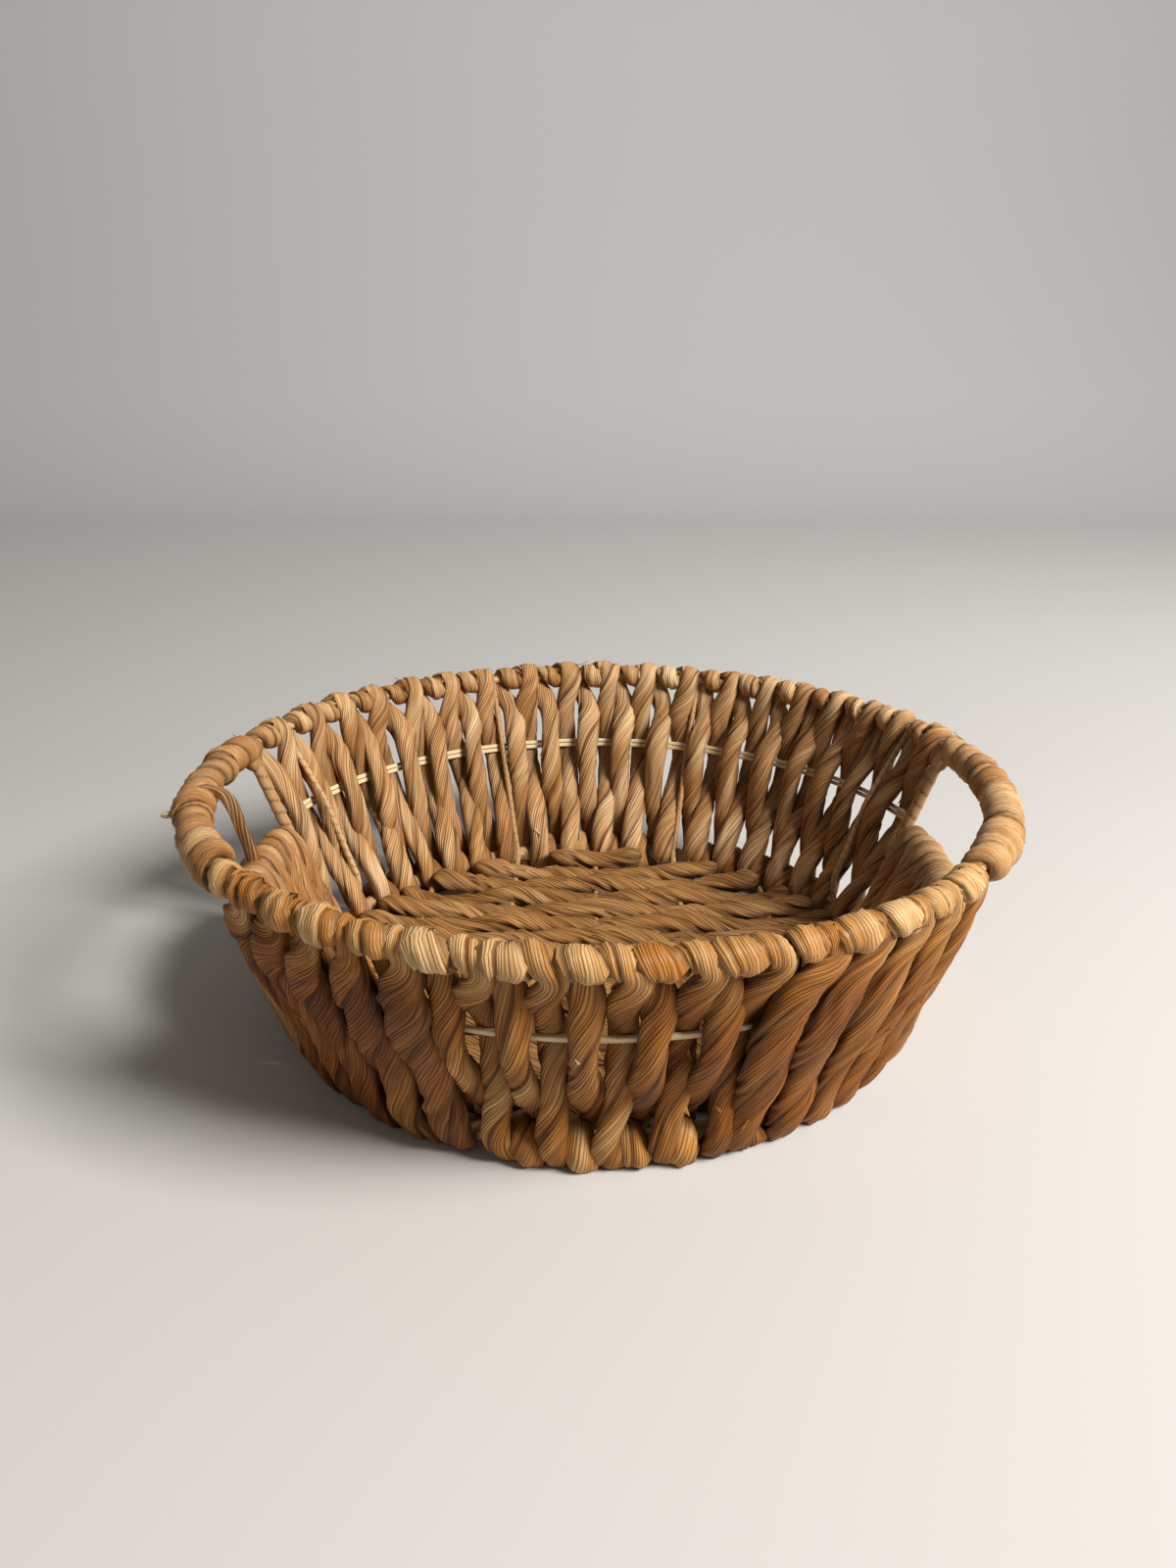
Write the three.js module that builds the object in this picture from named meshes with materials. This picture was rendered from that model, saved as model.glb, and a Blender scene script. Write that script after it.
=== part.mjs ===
// Round woven basket bowl with two open handles.
// Two cane hoops, joined by canes, carry twisted leaf strands that are wound and woven round them.
// Millimetres and degrees, +Z up, +X to the right handle, -Y to the front, origin on the table.
// The wall is a cone. A place on it has an angle round Z, a distance "up" the slope from the base
// hoop and a distance "out" from the slope, so that every strand is described on a flat pattern.

import * as THREE from 'three';

// Hoops
const RIM_RADIUS = 165;
const RIM_HEIGHT = 99;
const BASE_RADIUS = 128;
const RIM_CANE = 4;
const BASE_CANE = 7;

// Strands
const STRAND_THICKNESS = 4.6;
const LEG_FILL = 0.9;
const LOOP_FILL = 0.74;
const WIDE_FILL = 1.5;
const FLOOR_THICKNESS = 4.4;
const FLOOR_FILL = 0.985;
const WINDING_THICKNESS = 4.4;
const WINDING_FILL = 0.86;

// Canes between the hoops
const RIB_CANE = 3;
const POST_CANE = 5.5;
const RAIL_CANE = 4;
const RAIL_HEIGHT = 57;
const SPLINT_HEIGHT = 64;
const SPLINT_THICKNESS = 1.6;
const FRONT_SPLINT_WIDTH = 2.7;
const BACK_SPLINT_WIDTH = 2;

// Places round the wall
const OPENING_ANGLE = 50;
const HANDLE_FORWARD = 12;
const RIB_ANGLE = 20.3;
const LEG_SHARE = 0.25;
const LOOP_SHARE = 0.125;
const FOOT_SHARE = 0.375;

// Counts
const CENTRE_PAIRS = 5;
const CORNER_PAIRS = 1;
const SIDE_PAIRS = 6;
const FRONT_PAIRS = 5;
const LOW_WALL_TURNS = 12;
const WINDING_TURNS = 9;
const FLOOR_ROWS = 16;
const PAIRS_PER_STRAND = 3;

// Fits and facets: GAP where pieces butt, LOOP_ROOM round a cane, SIDE_ROOM beside a post or rib
const GAP = 0.3;
const LOOP_ROOM = 0.55;
const SIDE_ROOM = 1.05;
const FLOOR_ROOM = 0.75;
const FOOT_CUT = 0.5;
const SIDES = 6;
const RIM_STEPS = 6;
const BASE_STEPS = 8;
const WINDING_STEPS = 12;
const HOOP_STEPS = 64;

const DEG = Math.PI / 180;
const Z_AXIS = new THREE.Vector3(0, 0, 1);

const strandColour = new THREE.MeshStandardMaterial({ color: 0xa97b47, roughness: 0.6, metalness: 0 });
const floorColour = new THREE.MeshStandardMaterial({ color: 0x8f683c, roughness: 0.7, metalness: 0 });
const caneColour = new THREE.MeshStandardMaterial({ color: 0xcaa463, roughness: 0.5, metalness: 0 });
const splintColour = new THREE.MeshStandardMaterial({ color: 0xdcc189, roughness: 0.5, metalness: 0 });

const basket = new THREE.Group();
basket.name = 'woven_basket_bowl';

function addPiece(name, geometry, material) {
  const mesh = new THREE.Mesh(geometry, material);
  mesh.name = name;
  basket.add(mesh);
}

// A strand runs round a cane as a polygon, so its middle line stands off far enough for the flats
// of its own turn and of the hoop.
const hoopFlat = RIM_RADIUS * (1 - Math.cos(Math.PI / HOOP_STEPS));

function wrapRadius(cane, thickness, steps) {
  return (cane / 2 + LOOP_ROOM + hoopFlat) / Math.cos(Math.PI / steps) + thickness / 2;
}

const rimWrap = wrapRadius(RIM_CANE, STRAND_THICKNESS, RIM_STEPS);
const baseWrap = wrapRadius(BASE_CANE, STRAND_THICKNESS, BASE_STEPS);
const railWrap = wrapRadius(RAIL_CANE, STRAND_THICKNESS, RIM_STEPS);
const windingWrap = wrapRadius(RIM_CANE, WINDING_THICKNESS, WINDING_STEPS);

// The strands under the base hoop are pressed flat by FOOT_CUT where they stand on the table.
const baseHeight = (baseWrap + STRAND_THICKNESS / 2) * Math.cos(Math.PI / BASE_STEPS) - FOOT_CUT;

const slopeLength = Math.hypot(RIM_RADIUS - BASE_RADIUS, RIM_HEIGHT - baseHeight);
const slopeOut = (RIM_RADIUS - BASE_RADIUS) / slopeLength;
const slopeUp = (RIM_HEIGHT - baseHeight) / slopeLength;
const railUp = (RAIL_HEIGHT - baseHeight) / slopeUp;
const splintUp = (SPLINT_HEIGHT - baseHeight) / slopeUp;

function radiusAt(up, out) {
  return BASE_RADIUS + up * slopeOut + out * slopeUp;
}

function onWall(angle, up, out) {
  const radius = radiusAt(up, out);
  const height = baseHeight + up * slopeUp - out * slopeOut;
  return new THREE.Vector3(radius * Math.cos(angle * DEG), radius * Math.sin(angle * DEG), height);
}

function alongHoop(angle) {
  return new THREE.Vector3(-Math.sin(angle * DEG), Math.cos(angle * DEG), 0);
}

// Angle that a length along the base hoop takes up.
function baseAngle(length) {
  return length / BASE_RADIUS / DEG;
}

// One closed solid from a row of stations. Each has a place, the direction of its width, its width
// and its thickness. A ring of stations closes on itself, and nothing goes below the table.
function sweep(stations, isRing = false) {
  const count = stations.length;
  const positions = [];
  const triangles = [];
  stations.forEach((station, i) => {
    const before = stations[isRing ? (i + count - 1) % count : Math.max(i - 1, 0)];
    const after = stations[isRing ? (i + 1) % count : Math.min(i + 1, count - 1)];
    const ahead = after.place.clone().sub(before.place).normalize();
    const across = station.across.clone().addScaledVector(ahead, -ahead.dot(station.across)).normalize();
    const face = ahead.clone().cross(across);
    for (let side = 0; side < SIDES; side++) {
      const turn = (2 * Math.PI * side) / SIDES;
      const point = station.place
        .clone()
        .addScaledVector(across, (Math.cos(turn) * station.width) / 2)
        .addScaledVector(face, (Math.sin(turn) * station.thickness) / 2 / Math.sin(Math.PI / 3));
      positions.push(point.x, point.y, Math.max(point.z, 0));
    }
  });
  const spans = isRing ? count : count - 1;
  for (let i = 0; i < spans; i++) {
    const here = i * SIDES;
    const next = ((i + 1) % count) * SIDES;
    for (let side = 0; side < SIDES; side++) {
      const other = (side + 1) % SIDES;
      triangles.push(here + side, here + other, next + side);
      triangles.push(here + other, next + other, next + side);
    }
  }
  if (!isRing) {
    const last = (count - 1) * SIDES;
    for (let side = 1; side < SIDES - 1; side++) {
      triangles.push(0, side + 1, side);
      triangles.push(last, last + side, last + side + 1);
    }
  }
  const geometry = new THREE.BufferGeometry();
  geometry.setAttribute('position', new THREE.Float32BufferAttribute(positions, 3));
  geometry.setIndex(triangles);
  geometry.computeVertexNormals();
  return geometry;
}

// A cane is round, so its width direction only has to be away from its run.
function cane(places, diameter, across, isRing = false) {
  const thickness = diameter * Math.sin(Math.PI / 3);
  return sweep(places.map((place) => ({ place, across, width: diameter, thickness })), isRing);
}

function hoop(radius, height, diameter) {
  const places = [];
  for (let i = 0; i < HOOP_STEPS; i++) {
    const angle = (2 * Math.PI * i) / HOOP_STEPS;
    places.push(new THREE.Vector3(radius * Math.cos(angle), radius * Math.sin(angle), height));
  }
  return cane(places, diameter, Z_AXIS, true);
}

// A cane or splint that follows the wall between two angles.
function wallStrip(from, to, up, width, thickness) {
  const steps = Math.ceil(Math.abs(to - from) / (360 / HOOP_STEPS));
  const slope = new THREE.Vector3();
  const stations = [];
  for (let i = 0; i <= steps; i++) {
    const angle = from + ((to - from) * i) / steps;
    slope.subVectors(onWall(angle, up + 1, 0), onWall(angle, up, 0));
    stations.push({ place: onWall(angle, up, 0), across: slope.clone(), width, thickness });
  }
  return sweep(stations);
}

// A run of strand, given as [angle, up, out, fill] stations. Fill is its width as a share of the
// loop pitch.
function strand(stations, loopAngle) {
  return sweep(stations.map(([angle, up, out, fill]) => ({
    place: onWall(angle, up, out),
    across: alongHoop(angle),
    width: fill * loopAngle * DEG * radiusAt(up, out),
    thickness: STRAND_THICKNESS,
  })));
}

// Stations of a strand that turns round a cane at height "up". Turn 0 is inside the wall, 90 on top,
// 180 outside and 270 below.
function wrap(fromTurn, toTurn, steps, fromAngle, toAngle, up, radius, fill) {
  const count = Math.round((Math.abs(toTurn - fromTurn) / 360) * steps);
  const stations = [];
  for (let i = 0; i <= count; i++) {
    const turn = (fromTurn + ((toTurn - fromTurn) * i) / count) * DEG;
    const angle = fromAngle + ((toAngle - fromAngle) * i) / count;
    stations.push([angle, up + radius * Math.sin(turn), -radius * Math.cos(turn), fill]);
  }
  return stations;
}

const splintStep = STRAND_THICKNESS;
const splintPass = SPLINT_THICKNESS / 2 + LOOP_ROOM + STRAND_THICKNESS / 2;
const highCrossing = (splintUp + slopeLength) / 2;
const lowCrossing = splintUp / 2;

// Tucked end of a strand, inside and below the base hoop.
function tuck(angle, fill) {
  return wrap(-360 / BASE_STEPS, 0, BASE_STEPS, angle, angle, 0, baseWrap, fill).slice(0, -1);
}

// Round the base hoop from outside to inside, in half a turn or in one and a half. The last one of a
// strand ends underneath.
function foot(toTurn, fromAngle, toAngle, fill, isLast) {
  const stations = wrap(180, toTurn, BASE_STEPS, fromAngle, toAngle, 0, baseWrap, fill);
  return stations.slice(0, isLast ? BASE_STEPS / 4 + 1 : -1);
}

// The two loops of a pair of legs: one and a half turns round the rim hoop, from inside to outside.
function rimLoops(from, to) {
  return wrap(0, 540, RIM_STEPS, from, to, slopeLength, rimWrap, LOOP_FILL);
}

// Woven wall: each pair of legs goes up in front of the splint, round the rim hoop, down behind the
// splint and one and a half times round the base hoop to the next pair.
function wovenStrand(from, pairAngle, pairs) {
  const at = (pair, share) => from + (pair + share) * pairAngle;
  const stations = tuck(at(0, FOOT_SHARE), LOOP_FILL);
  for (let pair = 0; pair < pairs; pair++) {
    const rising = at(pair, LEG_SHARE);
    const falling = at(pair, 1 - LEG_SHARE);
    stations.push([at(pair, FOOT_SHARE), 0, -baseWrap, LOOP_FILL]);
    stations.push([rising, lowCrossing, 0, LEG_FILL]);
    stations.push([rising, splintUp - splintStep, splintPass, LEG_FILL]);
    stations.push([rising, splintUp + splintStep, splintPass, LEG_FILL]);
    stations.push([rising, highCrossing, 0, LEG_FILL]);
    stations.push(...rimLoops(at(pair, LOOP_SHARE), at(pair, 1 - LOOP_SHARE)));
    stations.push([falling, highCrossing, 0, LEG_FILL]);
    stations.push([falling, splintUp + splintStep, -splintPass, LEG_FILL]);
    stations.push([falling, splintUp - splintStep, -splintPass, LEG_FILL]);
    stations.push([falling, lowCrossing, 0, LEG_FILL]);
    stations.push(...foot(720, at(pair, 1 - FOOT_SHARE), at(pair + 1, FOOT_SHARE), LOOP_FILL, pair === pairs - 1));
  }
  return strand(stations, pairAngle / 2);
}

// Close wall: broad legs go up inside, round the rim hoop, down outside and half round the base hoop.
function closeStrand(from, pairAngle, pairs) {
  const at = (pair, share) => from + (pair + share) * pairAngle;
  const stations = tuck(at(0, LEG_SHARE), WIDE_FILL);
  for (let pair = 0; pair < pairs; pair++) {
    const rising = at(pair, LEG_SHARE);
    const falling = at(pair, 1 - LEG_SHARE);
    stations.push([rising, 0, -baseWrap, WIDE_FILL]);
    stations.push([rising, highCrossing, -rimWrap, WIDE_FILL]);
    stations.push(...rimLoops(at(pair, LOOP_SHARE), at(pair, 1 - LOOP_SHARE)));
    stations.push([falling, highCrossing, rimWrap, WIDE_FILL]);
    stations.push(...foot(360, falling, at(pair + 1, LEG_SHARE), WIDE_FILL, pair === pairs - 1));
  }
  return strand(stations, pairAngle / 2);
}

// Wound wall: the strand goes up inside, over the rail, down outside and under the base hoop.
function woundStrand(from, loopAngle, turns) {
  const inside = (turn) => from + (turn + LEG_FILL / 2) * loopAngle;
  const outside = (turn) => inside(turn + 0.5);
  const stations = tuck(inside(0), LEG_FILL);
  for (let turn = 0; turn < turns; turn++) {
    stations.push([inside(turn), 0, -baseWrap, LEG_FILL]);
    stations.push(...wrap(0, 180, RIM_STEPS, inside(turn), outside(turn), railUp, railWrap, LEG_FILL));
    stations.push(...foot(360, outside(turn), inside(turn + 1), LEG_FILL, turn === turns - 1));
  }
  return strand(stations, loopAngle);
}

// Hoops and the places that divide the wall: four posts beside the openings and the ribs.
addPiece('rim_hoop', hoop(RIM_RADIUS, RIM_HEIGHT, RIM_CANE), caneColour);
addPiece('base_hoop', hoop(BASE_RADIUS, baseHeight, BASE_CANE), caneColour);

const backRight = OPENING_ANGLE / 2 - HANDLE_FORWARD;
const backLeft = 180 - backRight;
const frontLeft = backLeft + OPENING_ANGLE;
const frontRight = 360 - OPENING_ANGLE / 2 - HANDLE_FORWARD;
const postRoom = baseAngle(POST_CANE / 2 + SIDE_ROOM);
const ribRoom = baseAngle(RIB_CANE / 2 + SIDE_ROOM);

const sidePairAngle = (90 - RIB_ANGLE - backRight - postRoom - 3 * ribRoom) / (CORNER_PAIRS + SIDE_PAIRS);
const sideRibAngle = backRight + postRoom + CORNER_PAIRS * sidePairAngle + ribRoom;

const postFoot = BASE_CANE / 2 + GAP;
const postHead = slopeLength - RIM_CANE / 2 - GAP;
const ribPass = -(SPLINT_THICKNESS / 2 + LOOP_ROOM + RIB_CANE / 2);

function post(angle) {
  return cane([onWall(angle, postFoot, 0), onWall(angle, postHead, 0)], POST_CANE, alongHoop(angle));
}

addPiece('post_back_right', post(backRight), caneColour);
addPiece('post_back_left', post(backLeft), caneColour);
addPiece('post_front_left', post(frontLeft), caneColour);
addPiece('post_front_right', post(frontRight), caneColour);

// Short ribs near the ends of the back wall, which pass inside the splint.
function sideRib(angle) {
  const places = [onWall(angle, postFoot, 0), onWall(angle, splintUp, ribPass), onWall(angle, postHead, 0)];
  return cane(places, RIB_CANE, alongHoop(angle));
}

addPiece('side_rib_right', sideRib(sideRibAngle), caneColour);
addPiece('side_rib_left', sideRib(180 - sideRibAngle), caneColour);

// Two long ribs run from the rim at the back, down the wall, across the floor and up to the rim in front.
const floorLift = (RIB_CANE + FLOOR_THICKNESS) / 2 + FLOOR_ROOM;
const floorHeight = floorLift + FLOOR_THICKNESS / 2 + GAP;
const ribFoot = -(BASE_CANE / 2 + GAP + RIB_CANE / 2);
const ribSide = radiusAt(0, ribFoot) * Math.sin(RIB_ANGLE * DEG);
const ribBend = BASE_CANE;

function longRib(side) {
  const back = 90 - side * RIB_ANGLE;
  const front = 270 + side * RIB_ANGLE;
  const bendDepth = Math.cos(RIB_ANGLE * DEG) * radiusAt(0, ribFoot) - ribBend;
  const places = [
    onWall(back, postHead, 0),
    onWall(back, splintUp, ribPass),
    onWall(back, 0, ribFoot),
    new THREE.Vector3(side * ribSide, bendDepth, floorHeight),
    new THREE.Vector3(side * ribSide, -bendDepth, floorHeight),
    onWall(front, 0, ribFoot),
    onWall(front, splintUp, ribPass),
    onWall(front, postHead, 0),
  ];
  return cane(places, RIB_CANE, new THREE.Vector3(1, 0, 0));
}

addPiece('long_rib_right', longRib(1), caneColour);
addPiece('long_rib_left', longRib(-1), caneColour);

// Straight canes across the floor, between and beside the long ribs.
const CANE_SPOTS = [-2, -1, 0, 1, 2];
const floorRadius = radiusAt(0, -baseWrap - STRAND_THICKNESS / 2) - LOOP_ROOM;

function floorCane(x) {
  const reach = Math.sqrt(floorRadius ** 2 - x ** 2) - RIB_CANE;
  const places = [new THREE.Vector3(x, -reach, floorHeight), new THREE.Vector3(x, reach, floorHeight)];
  return cane(places, RIB_CANE, new THREE.Vector3(1, 0, 0));
}

addPiece('floor_cane_left', floorCane(CANE_SPOTS.at(0) * ribSide), caneColour);
addPiece('floor_cane_centre', floorCane(0), caneColour);
addPiece('floor_cane_right', floorCane(CANE_SPOTS.at(-1) * ribSide), caneColour);

// Floor strands lie side by side from left to right, each over and under the floor canes in turn.
const rowPitch = (2 * floorRadius * FLOOR_FILL) / FLOOR_ROWS;
const rowWidth = rowPitch - GAP;

function floorStrand(row) {
  const y = (row - (FLOOR_ROWS - 1) / 2) * rowPitch;
  const reach = Math.sqrt(floorRadius ** 2 - (Math.abs(y) + rowWidth / 2) ** 2);
  const places = [new THREE.Vector3(-reach, y, floorHeight)];
  CANE_SPOTS.forEach((spot) => {
    const x = spot * ribSide;
    const lift = (row + spot) % 2 ? floorLift : -floorLift;
    if (Math.abs(x) < reach - RIB_CANE) {
      places.push(new THREE.Vector3(x, y, floorHeight + lift));
    }
  });
  places.push(new THREE.Vector3(reach, y, floorHeight));
  const across = new THREE.Vector3(0, 1, 0);
  return sweep(places.map((place) => ({ place, across, width: rowWidth, thickness: FLOOR_THICKNESS })));
}

for (let row = 0; row < FLOOR_ROWS; row++) {
  addPiece(`floor_strand_${String(row + 1).padStart(2, '0')}`, floorStrand(row), floorColour);
}

// Splints: two thin strips, one above the other, along the back wall and one in the middle of the front.
const splintEnd = (POST_CANE / 2 + GAP) / radiusAt(splintUp, 0) / DEG;
const splintOffset = (BACK_SPLINT_WIDTH + GAP) / 2;

function backSplint(up) {
  return wallStrip(backRight + splintEnd, backLeft - splintEnd, up, BACK_SPLINT_WIDTH, SPLINT_THICKNESS);
}

addPiece('splint_back_upper', backSplint(splintUp + splintOffset), splintColour);
addPiece('splint_back_lower', backSplint(splintUp - splintOffset), splintColour);

const frontSplintReach = RIB_ANGLE - ribRoom;
addPiece(
  'splint_front',
  wallStrip(270 - frontSplintReach, 270 + frontSplintReach, splintUp, FRONT_SPLINT_WIDTH, SPLINT_THICKNESS),
  splintColour,
);

// Rails close the openings below, from post to post.
const railEnd = (POST_CANE / 2 + GAP) / radiusAt(railUp, 0) / DEG;

function rail(from, to) {
  return wallStrip(from + railEnd, to - railEnd, railUp, RAIL_CANE, RAIL_CANE * Math.sin(Math.PI / 3));
}

addPiece('handle_rail_left', rail(backLeft, frontLeft), caneColour);
addPiece('handle_rail_right', rail(frontRight, backRight + 360), caneColour);

// Woven strands of the back wall and of the middle of the front wall.
function weave(name, from, to, pairs) {
  const strands = Math.ceil(pairs / PAIRS_PER_STRAND);
  const pairAngle = (to - from) / pairs;
  for (let i = 0; i < strands; i++) {
    const first = Math.round((pairs * i) / strands);
    const next = Math.round((pairs * (i + 1)) / strands);
    const start = from + first * pairAngle;
    addPiece(`${name}_${i + 1}`, wovenStrand(start, pairAngle, next - first), strandColour);
  }
}

const backCentre = 90 - RIB_ANGLE;
weave('strand_back_right_corner', backRight + postRoom, sideRibAngle - ribRoom, CORNER_PAIRS);
weave('strand_back_right', sideRibAngle + ribRoom, backCentre - ribRoom, SIDE_PAIRS);
weave('strand_back_centre', backCentre + ribRoom, 180 - backCentre - ribRoom, CENTRE_PAIRS);
weave('strand_back_left', 180 - backCentre + ribRoom, 180 - sideRibAngle - ribRoom, SIDE_PAIRS);
weave('strand_back_left_corner', 180 - sideRibAngle + ribRoom, backLeft - postRoom, CORNER_PAIRS);
weave('strand_front_centre', 270 - RIB_ANGLE + ribRoom, 270 + RIB_ANGLE - ribRoom, CENTRE_PAIRS);

// Close strands at the ends of the front wall, two for each. The broad legs stand out past their loops.
function closeUp(name, from, to) {
  const margin = WIDE_FILL / 4 - LEG_SHARE;
  const pairAngle = (to - from) / (FRONT_PAIRS + 2 * margin);
  const start = from + margin * pairAngle;
  const half = Math.floor(FRONT_PAIRS / 2);
  addPiece(`${name}_1`, closeStrand(start, pairAngle, half), strandColour);
  addPiece(`${name}_2`, closeStrand(start + half * pairAngle, pairAngle, FRONT_PAIRS - half), strandColour);
}

closeUp('strand_front_left', frontLeft + postRoom, 270 - RIB_ANGLE - ribRoom);
closeUp('strand_front_right', 270 + RIB_ANGLE + ribRoom, frontRight - postRoom);

// Wound strands in the low walls under the openings, two for each.
function wind(name, from, to) {
  const loopAngle = (to - from) / (LOW_WALL_TURNS - 0.5 + LEG_FILL);
  const half = Math.floor(LOW_WALL_TURNS / 2);
  addPiece(`${name}_1`, woundStrand(from, loopAngle, half), strandColour);
  addPiece(`${name}_2`, woundStrand(from + half * loopAngle, loopAngle, LOW_WALL_TURNS - half), strandColour);
}

wind('strand_low_left', backLeft + postRoom, frontLeft - postRoom);
wind('strand_low_right', frontRight + postRoom, backRight + 360 - postRoom);

// Handle windings: one strand round the rim hoop over each opening. Its first tail runs down inside
// and its last one outside, each beside a post.
function addWinding(name, from, to) {
  const length = (to - from) * DEG * RIM_RADIUS;
  const tailRoom = POST_CANE / 2 + SIDE_ROOM;
  const pitch = (length - 2 * tailRoom) / (WINDING_TURNS + 0.5 + WINDING_FILL);
  const width = WINDING_FILL * pitch;
  const start = from + (tailRoom + width / 2) / RIM_RADIUS / DEG;
  const end = to - (tailRoom + width / 2) / RIM_RADIUS / DEG;
  const lastTurn = 180 + 360 * WINDING_TURNS;
  const tailUp = slopeLength - WINDING_THICKNESS;
  const stations = [
    [start, tailUp, -windingWrap],
    ...wrap(0, lastTurn, WINDING_STEPS, start, end, slopeLength, windingWrap, WINDING_FILL),
    [end, tailUp, windingWrap],
  ];
  const geometry = sweep(stations.map(([angle, up, out]) => ({
    place: onWall(angle, up, out),
    across: alongHoop(angle),
    width,
    thickness: WINDING_THICKNESS,
  })));
  console.log(`${name}: least gap between turns ${leastTurnGap(geometry).toFixed(2)} mm`);
  addPiece(name, geometry, strandColour);
}

// Least distance between points of the winding that are at least three quarters of a turn apart.
function leastTurnGap(geometry) {
  const points = geometry.getAttribute('position');
  const apart = Math.round(WINDING_STEPS * 0.75) * SIDES;
  const one = new THREE.Vector3();
  const other = new THREE.Vector3();
  let least = Infinity;
  for (let i = 0; i < points.count; i++) {
    one.fromBufferAttribute(points, i);
    for (let j = i + apart; j < points.count; j++) {
      other.fromBufferAttribute(points, j);
      least = Math.min(least, one.distanceTo(other));
    }
  }
  return least;
}

addWinding('handle_winding_left', backLeft, frontLeft);
addWinding('handle_winding_right', frontRight, backRight + 360);

export default basket;
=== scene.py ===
# Round woven basket bowl with two open handles, in metres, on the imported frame.
# The pieces come in the order in which the basket is made: hoops, canes, floor, splints, walls, handles.

import math

import bpy
import numpy as np
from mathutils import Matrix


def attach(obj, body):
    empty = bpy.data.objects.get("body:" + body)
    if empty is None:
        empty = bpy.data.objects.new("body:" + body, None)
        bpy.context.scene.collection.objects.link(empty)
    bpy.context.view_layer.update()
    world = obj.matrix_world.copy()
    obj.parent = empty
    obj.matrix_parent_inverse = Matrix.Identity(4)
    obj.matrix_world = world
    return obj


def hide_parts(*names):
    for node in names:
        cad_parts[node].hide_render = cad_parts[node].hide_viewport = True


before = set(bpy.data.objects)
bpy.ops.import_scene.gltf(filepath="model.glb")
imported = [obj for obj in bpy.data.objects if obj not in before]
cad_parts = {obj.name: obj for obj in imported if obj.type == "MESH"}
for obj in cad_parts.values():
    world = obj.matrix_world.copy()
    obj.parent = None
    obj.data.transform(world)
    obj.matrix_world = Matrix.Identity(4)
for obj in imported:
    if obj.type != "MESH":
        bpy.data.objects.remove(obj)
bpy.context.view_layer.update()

# Rim hoop and base hoop. Each is one round cane bent to a ring; the rim hoop is peeled and smooth, and
# the base hoop is thicker and bound all round with a strip of flat leaf. The wall is hung between them.
rim_radius = 0.165
rim_height = 0.099
rim_cane = 0.004
rim_steps = 400
base_radius = 0.128
base_height = 0.008
base_cane = 0.007
base_steps = 500
cane_sides = 20
binding_pitch = 0.014
binding_step = 0.0007
binding_edge = 0.85
binding_shade = 0.35
relief_strength = 0.8
noise_roughness = 0.6
dry_shine = 0.20
# Each noise is given as changes per metre round a piece, changes per metre along it, and detail.
cane_grain = (2600.0, 30.0, 4.0)
cane_streak = (700.0, 9.0, 2.0)
cane_dark_level = 0.2
cane_pale_level = 0.62
cane_roughness = 0.5
cane_relief = 0.0003


def unit(vectors):
    return vectors / np.linalg.norm(vectors, axis=-1, keepdims=True)


def lay_rings(places, across, width, thickness, swell, turn=0.0, is_hoop=False):
    """Rings of points along a run. Width lies along across, and swell scales each point of a ring."""
    if is_hoop:
        ahead = unit(np.roll(places, -1, axis=0) - np.roll(places, 1, axis=0))
    else:
        ahead = unit(np.gradient(places, axis=0))
    across = unit(across - np.sum(across * ahead, axis=1, keepdims=True) * ahead)
    face = np.cross(ahead, across)
    around = swell.shape[1]
    angle = np.arange(around) / around * 2 * math.pi + np.reshape(turn, (-1, 1))
    sideways = swell * np.reshape(width, (-1, 1)) / 2 * np.cos(angle)
    outward = swell * np.reshape(thickness, (-1, 1)) / 2 * np.sin(angle)
    return places[:, None] + sideways[..., None] * across[:, None] + outward[..., None] * face[:, None]


def add_skin(name, rings, girth, run, tone=0.5, depth=0.0, tight=0.0, is_hoop=False):
    """One mesh over a row of rings. Its map "fibre" is metres round and along the piece."""
    count, around = rings.shape[:2]
    spans = count if is_hoop else count - 1
    row, column = np.meshgrid(np.arange(spans), np.arange(around), indexing="ij")
    next_row = (row + 1) % count
    next_column = (column + 1) % around
    corners = [row * around + column, row * around + next_column]
    corners += [next_row * around + next_column, next_row * around + column]
    quads = np.stack(corners, axis=-1).reshape(-1, 4)
    points = rings.reshape(-1, 3)
    faces = quads.tolist()
    if not is_hoop:
        points = np.concatenate([points, rings[:1].mean(axis=1), rings[-1:].mean(axis=1)])
        first_cap = count * around
        last_row = first_cap - around
        for side in range(around):
            other = (side + 1) % around
            faces.append([first_cap, other, side])
            faces.append([first_cap + 1, last_row + side, last_row + other])
    mesh = bpy.data.meshes.new(name)
    mesh.from_pydata(points.tolist(), [], faces)
    mesh.polygons.foreach_set("use_smooth", np.ones(len(faces), dtype=bool))

    ends = np.append(run, 2 * run[-1] - run[-2])
    left = column / around * girth
    right = (column + 1) / around * girth
    low = ends[row]
    high = ends[row + 1]
    fibre = np.stack([left, low, right, low, right, high, left, high], axis=-1).ravel()
    spread = np.zeros(2 * len(mesh.loops))
    spread[: len(fibre)] = fibre
    layer = mesh.uv_layers.new(name="fibre")
    layer.data.foreach_set("uv", spread)
    # Point attributes: tone, the piece's own tone with painted light and shade added; depth, painted shade;
    # tight, how hard the piece bends.
    for label, values in (("tone", tone), ("depth", depth), ("tight", tight)):
        flat = np.broadcast_to(values, (count, around)).ravel()
        filled = np.full(len(points), float(flat[0]))
        filled[: len(flat)] = flat
        mesh.attributes.new(label, "FLOAT", "POINT").data.foreach_set("value", filled)
    piece = bpy.data.objects.new(name, mesh)
    bpy.context.scene.collection.objects.link(piece)
    return piece


def fit_piece(piece, material, slot, *nodes):
    """Gives a piece its material, fixes it to the basket and puts it in the place of its CAD nodes."""
    piece.data.materials.append(material)
    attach(piece, "root")
    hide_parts(*nodes)


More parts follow.
